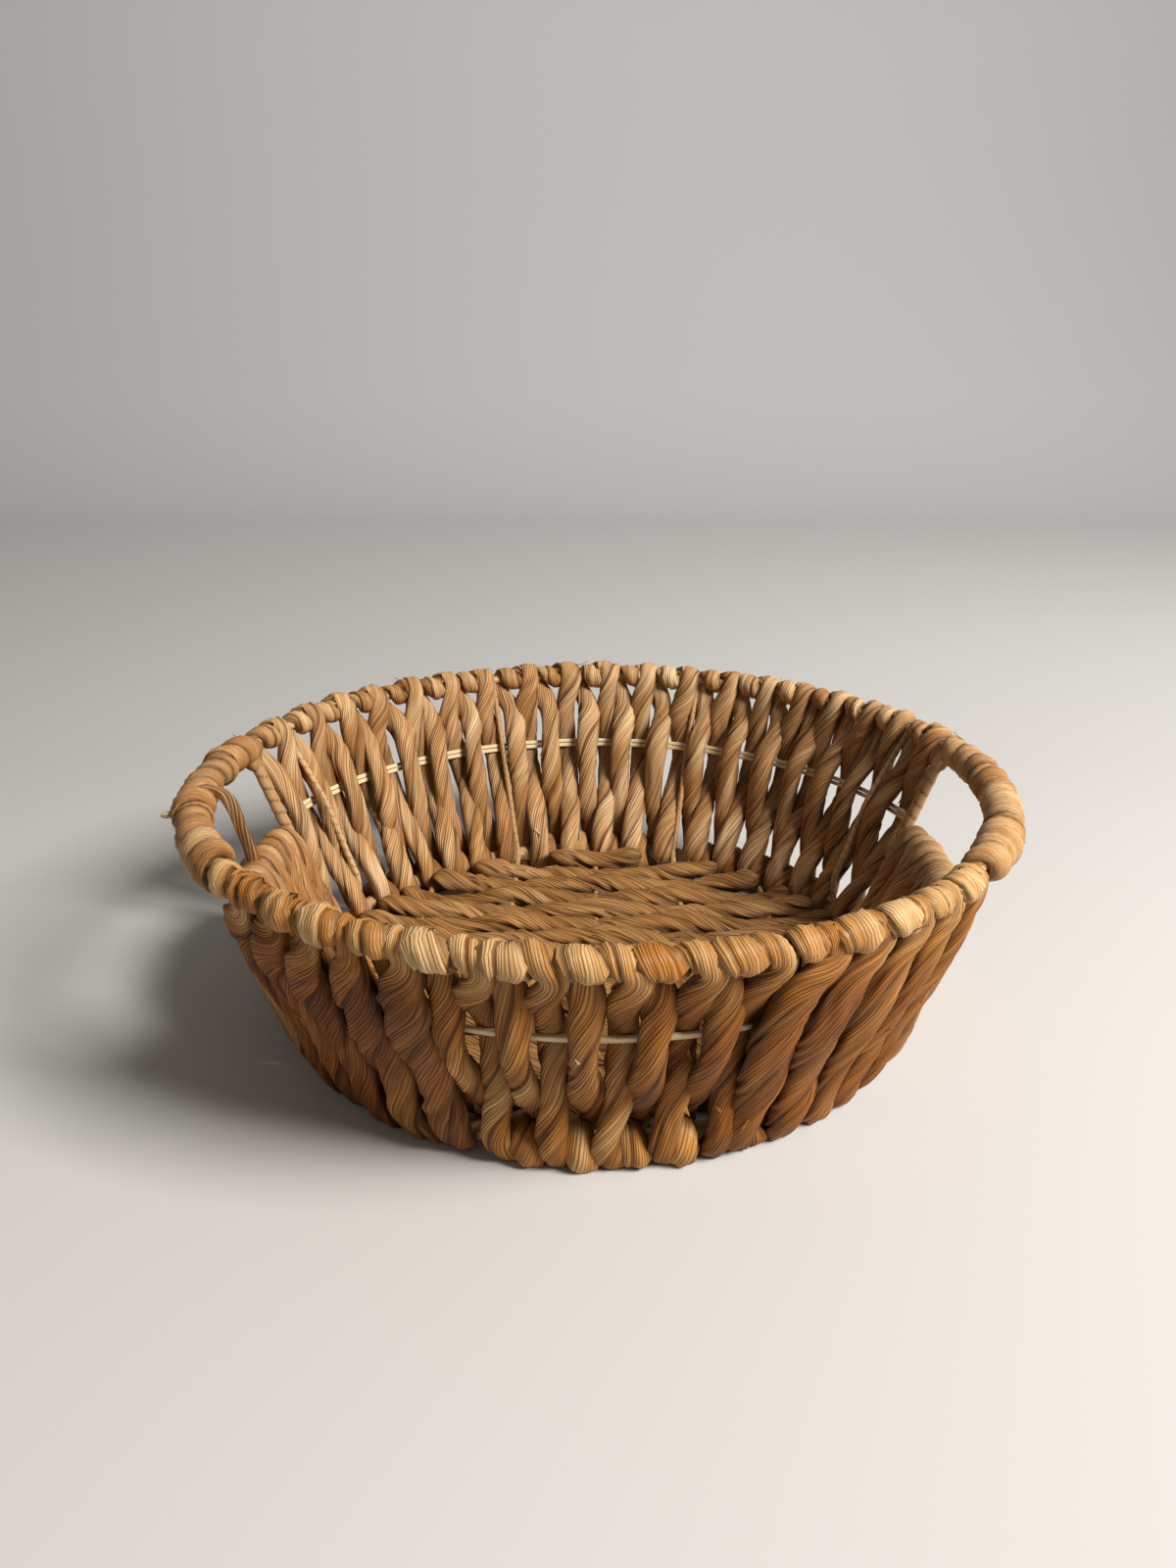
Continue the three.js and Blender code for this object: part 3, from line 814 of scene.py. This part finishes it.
wall_leaf = leaf_material(
    "wall_leaf",
    [
        (0.05, (0.090, 0.028, 0.006)),
        (0.32, (0.255, 0.097, 0.020)),
        (0.58, (0.455, 0.220, 0.073)),
        (0.80, (0.660, 0.420, 0.205)),
        (1.0, (0.820, 0.620, 0.360)),
    ],
    (0.36, 0.200, 0.085),
    (0.026, 0.011, 0.0032),
    wall_veins,
)

# The front leaf is a darker, more saturated copy of the wall leaf: painted shade with warm painted bounce
# light on the front of the basket.
shaded_front_leaf = leaf_material(
    "shaded_front_leaf",
    [
        (0.05, (0.085, 0.020, 0.002)),
        (0.32, (0.250, 0.078, 0.008)),
        (0.54, (0.410, 0.160, 0.028)),
        (0.64, (0.500, 0.255, 0.082)),
        (0.82, (0.650, 0.415, 0.190)),
        (1.0, (0.830, 0.655, 0.410)),
    ],
    (0.34, 0.170, 0.052),
    (0.024, 0.009, 0.002),
    front_veins,
)


def wrap_round(turns, angles, up, radius, size):
    """Stations round a cane at height up. Turn 0 is inside the wall, 90 on top and 180 outside."""
    count = round(abs(turns[1] - turns[0]) / wrap_step)
    turn = np.radians(np.linspace(*turns, count + 1))
    places = on_wall(np.linspace(*angles, count + 1), up + radius * np.sin(turn), -radius * np.cos(turn))
    return [[*place, *size] for place in places]


def rim_loops(first, last, knob_size, loop_size, chance):
    """A fat knob and a loop, one and a half turns round the rim hoop from inside to outside."""
    middle = (first + 2 * last) / 3 + chance.normal(0.0, loop_drift)
    crest = (first + middle) / 2
    knob = [*knob_size, rim_tone + chance.uniform(*knob_tones)]
    loop = [*loop_size, rim_tone + chance.uniform(*loop_tones)]
    knob_wrap = rim_wrap + chance.uniform(*knob_rise)
    stations = wrap_round((0, 45), (first, first), slope_length, rim_wrap, loop)
    stations += wrap_round((90, 165), (first, crest), slope_length, knob_wrap, knob)
    stations += wrap_round((220, 360), (crest, middle), slope_length, rim_wrap, loop)
    return stations + wrap_round((390, 540), (middle, last), slope_length, rim_wrap, loop)


def base_loops(heel, toe, chance, is_end):
    """Down from outside, up inside, over into a knob outside, and under to the inside of the next leg."""
    foot = [foot_width, loop_thickness, foot_tone]
    knob = [foot_knob_width, loop_thickness + foot_knob_plump, chance.uniform(*foot_knob_tones)]
    arch = [arch_width, loop_thickness, arch_tone]
    middle = (heel + toe) / 2 + chance.normal(0.0, loop_drift)
    knob_angles = (middle + foot_knob_shift, (middle + 2 * toe) / 3)
    stations = wrap_round((180, 330), (heel, middle), 0.0, base_wrap, foot)
    stations += wrap_round((360, 420), (middle, middle), 0.0, base_wrap - arch_dip, arch)
    stations += wrap_round((450, 600), knob_angles, 0.0, base_wrap + foot_knob_lift, knob)
    return stations if is_end else stations + wrap_round((660, 690), (toe, toe), 0.0, base_wrap, foot)


def add_woven(label, start, pair_angle, pairs, legs, is_followed, leaf, tone, seed):
    """A strand of one to three pairs of legs. Where another follows, its end makes a knob at the base."""
    chance = np.random.default_rng(seed)
    leg = [leg_width, leg_thickness, tone]
    low_leg = [low_leg_width, leg_thickness, tone]
    high_leg = [high_leg_width, leg_thickness, tone]
    room = math.radians(pair_angle) * rim_radius
    knob = [knob_share * room, knob_thickness]
    loop = [loop_share * room, loop_thickness]
    foot = [foot_width, loop_thickness + foot_plump, tone - foot_shade]

    def at(pair, share, drift):
        return start + (pair + share) * pair_angle + chance.normal(0.0, drift)

    foot_angle = at(0, foot_share, loop_drift)
    stations = wrap_round((-60, -30), (foot_angle, foot_angle), 0.0, base_wrap, foot)
    for pair in range(pairs):
        rising = at(pair, legs[0], leg_drift)
        falling = at(pair, legs[1], leg_drift)
        high_rising = rising + (high_legs[0] - legs[0]) * pair_angle
        high_falling = falling + (high_legs[1] - legs[1]) * pair_angle
        first_loop = at(pair, loop_margin, loop_drift)
        last_loop = at(pair, 1.0 - loop_margin, loop_drift)
        stations.append([*on_wall(foot_angle, 0.0, -base_wrap), *foot])
        stations.append([*on_wall(rising, low_crossing, 0.0), *low_leg])
        stations.append([*on_wall(rising, splint_up, splint_pass), *leg])
        stations.append([*on_wall(high_rising, high_crossing, 0.0), *high_leg])
        stations += rim_loops(first_loop, last_loop, knob, loop, chance)
        stations.append([*on_wall(high_falling, high_crossing, 0.0), *high_leg])
        stations.append([*on_wall(falling, splint_up, -splint_pass), *leg])
        stations.append([*on_wall(falling, low_crossing, 0.0), *low_leg])
        heel = at(pair, 1.0 - foot_share, loop_drift)
        foot_angle = at(pair + 1, foot_share, loop_drift)
        is_end = pair == pairs - 1
        if is_end and not is_followed:
            stations += wrap_round((180, 270), (heel, heel), 0.0, base_wrap, foot)
        else:
            stations += base_loops(heel, foot_angle, chance, is_end)
    rows = smooth_run(stations, strand_step)
    piece = add_strand(f"woven_{label}", rows, along_hoop(rows[:, :3]), chance, wall_twist)
    fit_piece(piece, leaf, "twisted_leaf", f"strand_{label}")


rib_right = back_middle - rib_angle
rib_left = back_middle + rib_angle
front_start = front_middle - rib_angle - front_lap
front_end = front_middle + rib_angle + front_lap
woven_walls = [
    ("back_right_corner", back_right + post_room, side_rib_angle - rib_lap, 1, right_legs),
    ("back_right", side_rib_angle + rib_lap, rib_right - rib_lap, 6, right_legs),
    ("back_centre", rib_right + rib_lap, rib_left - rib_lap, 5, back_legs),
    ("back_left", rib_left + rib_lap, side_rib_left - rib_lap, 6, left_legs),
    ("back_left_corner", side_rib_left + rib_lap, back_left - post_room, 1, left_legs),
    ("front_centre", front_start, front_end, 5, front_legs),
]
for order, (place, start, end, pairs, legs) in enumerate(woven_walls):
    # The front centre wall is painted darker, as painted shade, and the back walls paler, as painted light.
    is_front = place == "front_centre"
    leaf = shaded_front_leaf if is_front else wall_leaf
    tone = front_shade_tone if is_front else back_light_tone
    pair_angle = (end - start) / pairs
    strands = math.ceil(pairs / pairs_per_strand)
    for strand in range(strands):
        first = int(pairs * strand / strands + 0.5)
        after = int(pairs * (strand + 1) / strands + 0.5)
        label = f"{place}_{strand + 1}"
        begin = start + first * pair_angle
        is_followed = after < pairs
        seed = woven_seed + seed_stride * order + strand
        add_woven(label, begin, pair_angle, after - first, legs, is_followed, leaf, tone, seed)

# Close walls, at the two ends of the front. There is no splint here: broad legs go up inside, round the
# rim, down outside and under the base, so that the outside is covered by legs side by side.
front_pairs = 5
broad_width = 0.0172
broad_thickness = 0.0082
broad_twist = 0.080
broad_fold = 0.24
broad_out = 0.0050
# Painted shade: the broad legs of the close walls at the front are painted darker.
broad_shade_tone = -0.15
broad_foot_share = 0.85
inside_leg_share = 0.25
close_margin = 0.125
leg_margin = 0.14
close_lap = 1.9
post_lap = 0.9
close_knob_share = 0.78
close_knob_thickness = 0.0096
close_loop_share = 0.50
close_loop_thickness = 0.0064
close_seed = 300


def add_close(label, start, pair_angle, legs, seed):
    """A strand of the close wall; start is the place of its first loops, and legs are the outside legs."""
    chance = np.random.default_rng(seed)
    broad = [broad_width, broad_thickness, broad_shade_tone]
    foot = [broad_width * broad_foot_share, loop_thickness + foot_plump, broad_shade_tone]
    room = math.radians(pair_angle) * rim_radius
    knob = [close_knob_share * room, close_knob_thickness]
    loop = [close_loop_share * room, close_loop_thickness]

    def at(pair, share):
        return start + (pair + share) * pair_angle + chance.normal(0.0, loop_drift)

    foot_angle = at(0, inside_leg_share)
    stations = wrap_round((-60, -30), (foot_angle, foot_angle), 0.0, base_wrap, foot)
    for pair, leg in enumerate(legs):
        falling = leg + chance.normal(0.0, leg_drift)
        stations.append([*on_wall(foot_angle, 0.0, -base_wrap), *foot])
        stations.append([*on_wall(foot_angle, splint_up, -rim_wrap), *broad])
        stations += rim_loops(at(pair, loop_margin), at(pair, 1.0 - loop_margin), knob, loop, chance)
        stations.append([*on_wall(falling, high_crossing, broad_out), *broad])
        stations.append([*on_wall(falling, low_crossing, broad_out), *broad])
        heel = falling + chance.normal(0.0, leg_drift)
        foot_angle = at(pair + 1, inside_leg_share)
        if pair == len(legs) - 1:
            stations += wrap_round((180, 270), (heel, heel), 0.0, base_wrap, foot)
        else:
            stations += wrap_round((180, 330), (heel, foot_angle), 0.0, base_wrap, foot)
    rows = smooth_run(stations, strand_step)
    across = along_hoop(rows[:, :3])
    piece = add_strand(f"close_{label}", rows, across, chance, broad_twist, broad_fold)
    fit_piece(piece, shaded_front_leaf, "twisted_leaf", f"strand_{label}")


close_walls = [
    ("front_left", front_left + post_room, front_middle - rib_angle - rib_room, post_lap, close_lap),
    ("front_right", front_middle + rib_angle + rib_room, front_right - post_room, close_lap, post_lap),
]
for order, (place, start, end, lap_before, lap_after) in enumerate(close_walls):
    pair_rooms = front_pairs + 2 * close_margin
    leg_inset = leg_margin * (end - start) / pair_rooms
    legs = np.linspace(start + leg_inset, end - leg_inset, front_pairs)
    first_loops = start - lap_before
    pair_angle = (end + lap_after - first_loops) / pair_rooms
    half = front_pairs // 2
    for strand, share in enumerate((legs[:half], legs[half:])):
        label = f"{place}_{strand + 1}"
        begin = first_loops + (close_margin + strand * half) * pair_angle
        add_close(label, begin, pair_angle, share, close_seed + seed_stride * order + strand)

# Low walls, under the handle openings. One strand goes up inside, over the rail, down outside and under
# the base hoop, turn beside turn; each wall takes two of them.
low_turns = 12
low_turn_room = 0.4
low_first_turn = 0.58
low_width = 0.0098
low_thickness = 0.0084
low_seed = 350
over_rail_share = 1.1
over_rail_tone = 0.08
rail_wrap = 0.0040


def add_low(label, start, loop_angle, turns, seed):
    chance = np.random.default_rng(seed)
    size = [low_width, low_thickness, 0.0]
    over = [over_rail_share * low_width, low_thickness, over_rail_tone]
    inside = start + (np.arange(turns + 1) + low_first_turn) * loop_angle
    inside = inside + chance.normal(0.0, loop_drift, turns + 1)
    outside = inside[:-1] + loop_angle / 2 + chance.normal(0.0, loop_drift, turns)
    stations = wrap_round((-60, -30), (inside[0], inside[0]), 0.0, base_wrap, size)
    for turn in range(turns):
        stations.append([*on_wall(inside[turn], 0.0, -base_wrap), *size])
        stations.append([*on_wall(inside[turn], rail_up / 2, -base_wrap), *size])
        stations += wrap_round((0, 180), (inside[turn], outside[turn]), rail_up, rail_wrap, over)
        stations.append([*on_wall(outside[turn], rail_up / 2, base_wrap), *size])
        if turn == turns - 1:
            stations += wrap_round((180, 270), (outside[turn], outside[turn]), 0.0, base_wrap, size)
        else:
            stations += wrap_round((180, 330), (outside[turn], inside[turn + 1]), 0.0, base_wrap, size)
    rows = smooth_run(stations, strand_step)
    piece = add_strand(f"wound_{label}", rows, along_hoop(rows[:, :3]), chance, wall_twist)
    fit_piece(piece, wall_leaf, "twisted_leaf", f"strand_{label}")


for order, (place, start, end) in enumerate(openings):
    loop_angle = (end - start - 2 * post_room) / (low_turns + low_turn_room)
    half = low_turns // 2
    for strand in range(2):
        begin = start + post_room + strand * half * loop_angle
        seed = low_seed + seed_stride * order + strand
        add_low(f"low_{place}_{strand + 1}", begin, loop_angle, half, seed)

# Handle windings. One broad leaf strand is wound round the bare rim hoop over each opening, turn beside
# turn. Its ends are tucked down beside the posts. On the left a loose end hangs to the rail, and a pale
# cut end stands out beside it.
winding_turns = 9
winding_width = 0.0146
winding_thickness = 0.0088
winding_wrap = 0.0031
winding_pinch = 0.12
winding_twist = 0.10
winding_fold = 0.15
winding_fat = 0.2
winding_inset = 0.3
winding_lap = 0.05
winding_tail = 0.009
winding_tone = 0.04
winding_tone_spread = 0.06
winding_seed = 400
strap = [0.0060, 0.0018, 0.12]
strap_twist = 0.09
cut_root = [0.0044, 0.0030, 0.55]
cut_tip = [0.0036, 0.0024, 0.55]
loose_ends = {
    "hanging_end": [
        [*on_wall(192.0, slope_length + 0.006, -0.004), *strap],
        [*on_wall(190.5, slope_length - 0.001, -0.009), *strap],
        [*on_wall(188.0, (slope_length + rail_up) / 2, -0.007), *strap],
        [*on_wall(185.0, rail_up + 0.005, -0.002), *strap],
    ],
    "cut_end": [
        [*on_wall(195.0, slope_length + 0.002, 0.006), *cut_root],
        [*on_wall(196.0, slope_length + 0.005, 0.0115), *cut_tip],
    ],
}

for order, (place, start, end) in enumerate(openings):
    chance = np.random.default_rng(winding_seed + order)
    first = start + winding_inset
    last = end - winding_inset
    turns = (-90, 270 + 360 * winding_turns)
    size = [winding_width, winding_thickness, winding_tone]
    stations = np.array(wrap_round(turns, (first, last), slope_length, winding_wrap, size))
    inside = np.cos(np.radians(np.linspace(*turns, len(stations))))
    to_front = np.linspace(0.0, 1.0, len(stations))
    if place == "right":
        to_front = 1.0 - to_front
    stations[:, 3] *= 1.0 - winding_pinch * inside
    stations[:, 4] *= (1.0 - winding_pinch * inside) * (1.0 + winding_fat * to_front)
    stations[:, 5] += chance.uniform(-winding_tone_spread, winding_tone_spread, len(stations)).round(2)
    tail_up = slope_length - winding_wrap - winding_tail
    tails = [[*on_wall(angle, tail_up, 0.0), *stations[0, 3:]] for angle in (first, last)]
    rows = smooth_run(np.vstack([tails[0], stations, tails[1]]), strand_step)
    angles = np.degrees(np.arctan2(rows[:, 1], rows[:, 0]))
    hoop = on_wall(angles, slope_length, 0.0)
    across = along_hoop(rows[:, :3]) + winding_lap * unit(rows[:, :3] - hoop)
    name = f"wound_handle_{place}"
    piece = add_strand(name, rows, across, chance, winding_twist, winding_fold, plies=1)
    if place == "left":
        ends = [piece]
        for label, stations in loose_ends.items():
            rows = smooth_run(stations, strand_step)
            outward = rows[:, :3] * np.array([1.0, 1.0, 0.0])
            ends.append(add_strand(label, rows, outward, chance, strap_twist, slips=0))
        piece = join_pieces(ends)
    fit_piece(piece, wall_leaf, "twisted_leaf", f"handle_winding_{place}")

# Studio: a plain pale floor that curves up into a backdrop, a broad soft light from the right, a weak
# one from the left, and the camera.
stage_width = 6.0
stage_front = -3.0
sweep_start = 1.6
sweep_radius = 1.0
sweep_steps = 24
wall_height = 3.0
paper_roughness = 0.9
paper_mottle = {"Scale": 3.0, "Detail": 2.0}
paper_near = [(0.3, (0.54, 0.515, 0.48)), (0.7, (0.56, 0.535, 0.50))]
paper_far = (0.86, 0.845, 0.82, 1.0)
far_from = 0.3
far_to = 2.2
air_colour = (1.0, 0.98, 0.95, 1.0)
air_strength = 0.15
light_target = (0.0, 0.0, 0.05)
camera_lens = 26.1
camera_place = (-0.004, -0.4604, 0.2648)
camera_tilt = 69.7
camera_near = 0.01

profile = [(stage_front, 0.0)]
for turn in np.linspace(0.0, math.pi / 2, sweep_steps):
    profile.append((sweep_start + sweep_radius * math.sin(turn), sweep_radius * (1 - math.cos(turn))))
profile.append((sweep_start + sweep_radius, wall_height))
points = [(x, y, z) for y, z in profile for x in (-stage_width / 2, stage_width / 2)]
faces = [(2 * i, 2 * i + 1, 2 * i + 3, 2 * i + 2) for i in range(len(profile) - 1)]
stage_mesh = bpy.data.meshes.new("studio_floor")
stage_mesh.from_pydata(points, [], faces)
stage_mesh.polygons.foreach_set("use_smooth", np.ones(len(faces), dtype=bool))
studio_floor = bpy.data.objects.new("studio_floor", stage_mesh)
bpy.context.scene.collection.objects.link(studio_floor)

paper = new_material("studio_paper")
mottle = add_node(paper, "TexNoise", paper_mottle).outputs[0]
near = colour_ramp(paper, mottle, paper_near)
# The paper is painted paler towards the back: painted light where the lamps reach it weakly.
place = add_node(paper, "TexCoord", {}).outputs["Object"]
depth = add_node(paper, "SeparateXYZ", {"Vector": place}).outputs["Y"]
far = map_range(paper, depth, far_from, far_to, 0.0, 1.0)
finish_surface(paper, mix_colour(paper, far, near, paper_far), paper_roughness, mottle, 0.0)
stage_mesh.materials.append(paper)

world = bpy.data.worlds.new("studio_air")
world.use_nodes = True
world.node_tree.nodes["Background"].inputs["Color"].default_value = air_colour
world.node_tree.nodes["Background"].inputs["Strength"].default_value = air_strength
bpy.context.scene.world = world


def add_light(name, place, size, power):
    light = bpy.data.lights.new(name, "AREA")
    light.size = size
    light.energy = power
    holder = bpy.data.objects.new(name, light)
    holder.location = place
    aim = np.array(light_target) - np.array(place)
    flat = math.hypot(aim[0], aim[1])
    holder.rotation_euler = (math.atan2(flat, -aim[2]), 0.0, math.atan2(-aim[0], aim[1]))
    bpy.context.scene.collection.objects.link(holder)


add_light("key_light", (1.25, -0.75, 1.35), size=0.7, power=68.0)
add_light("fill_light", (-1.4, -1.0, 0.9), size=1.2, power=1.0)

camera_data = bpy.data.cameras.new("camera")
camera_data.lens = camera_lens
camera_data.clip_start = camera_near
camera = bpy.data.objects.new("camera", camera_data)
camera.location = camera_place
camera.rotation_euler = (math.radians(camera_tilt), 0.0, 0.0)
bpy.context.scene.collection.objects.link(camera)
bpy.context.scene.camera = camera
bpy.context.scene.view_settings.view_transform = "Standard"
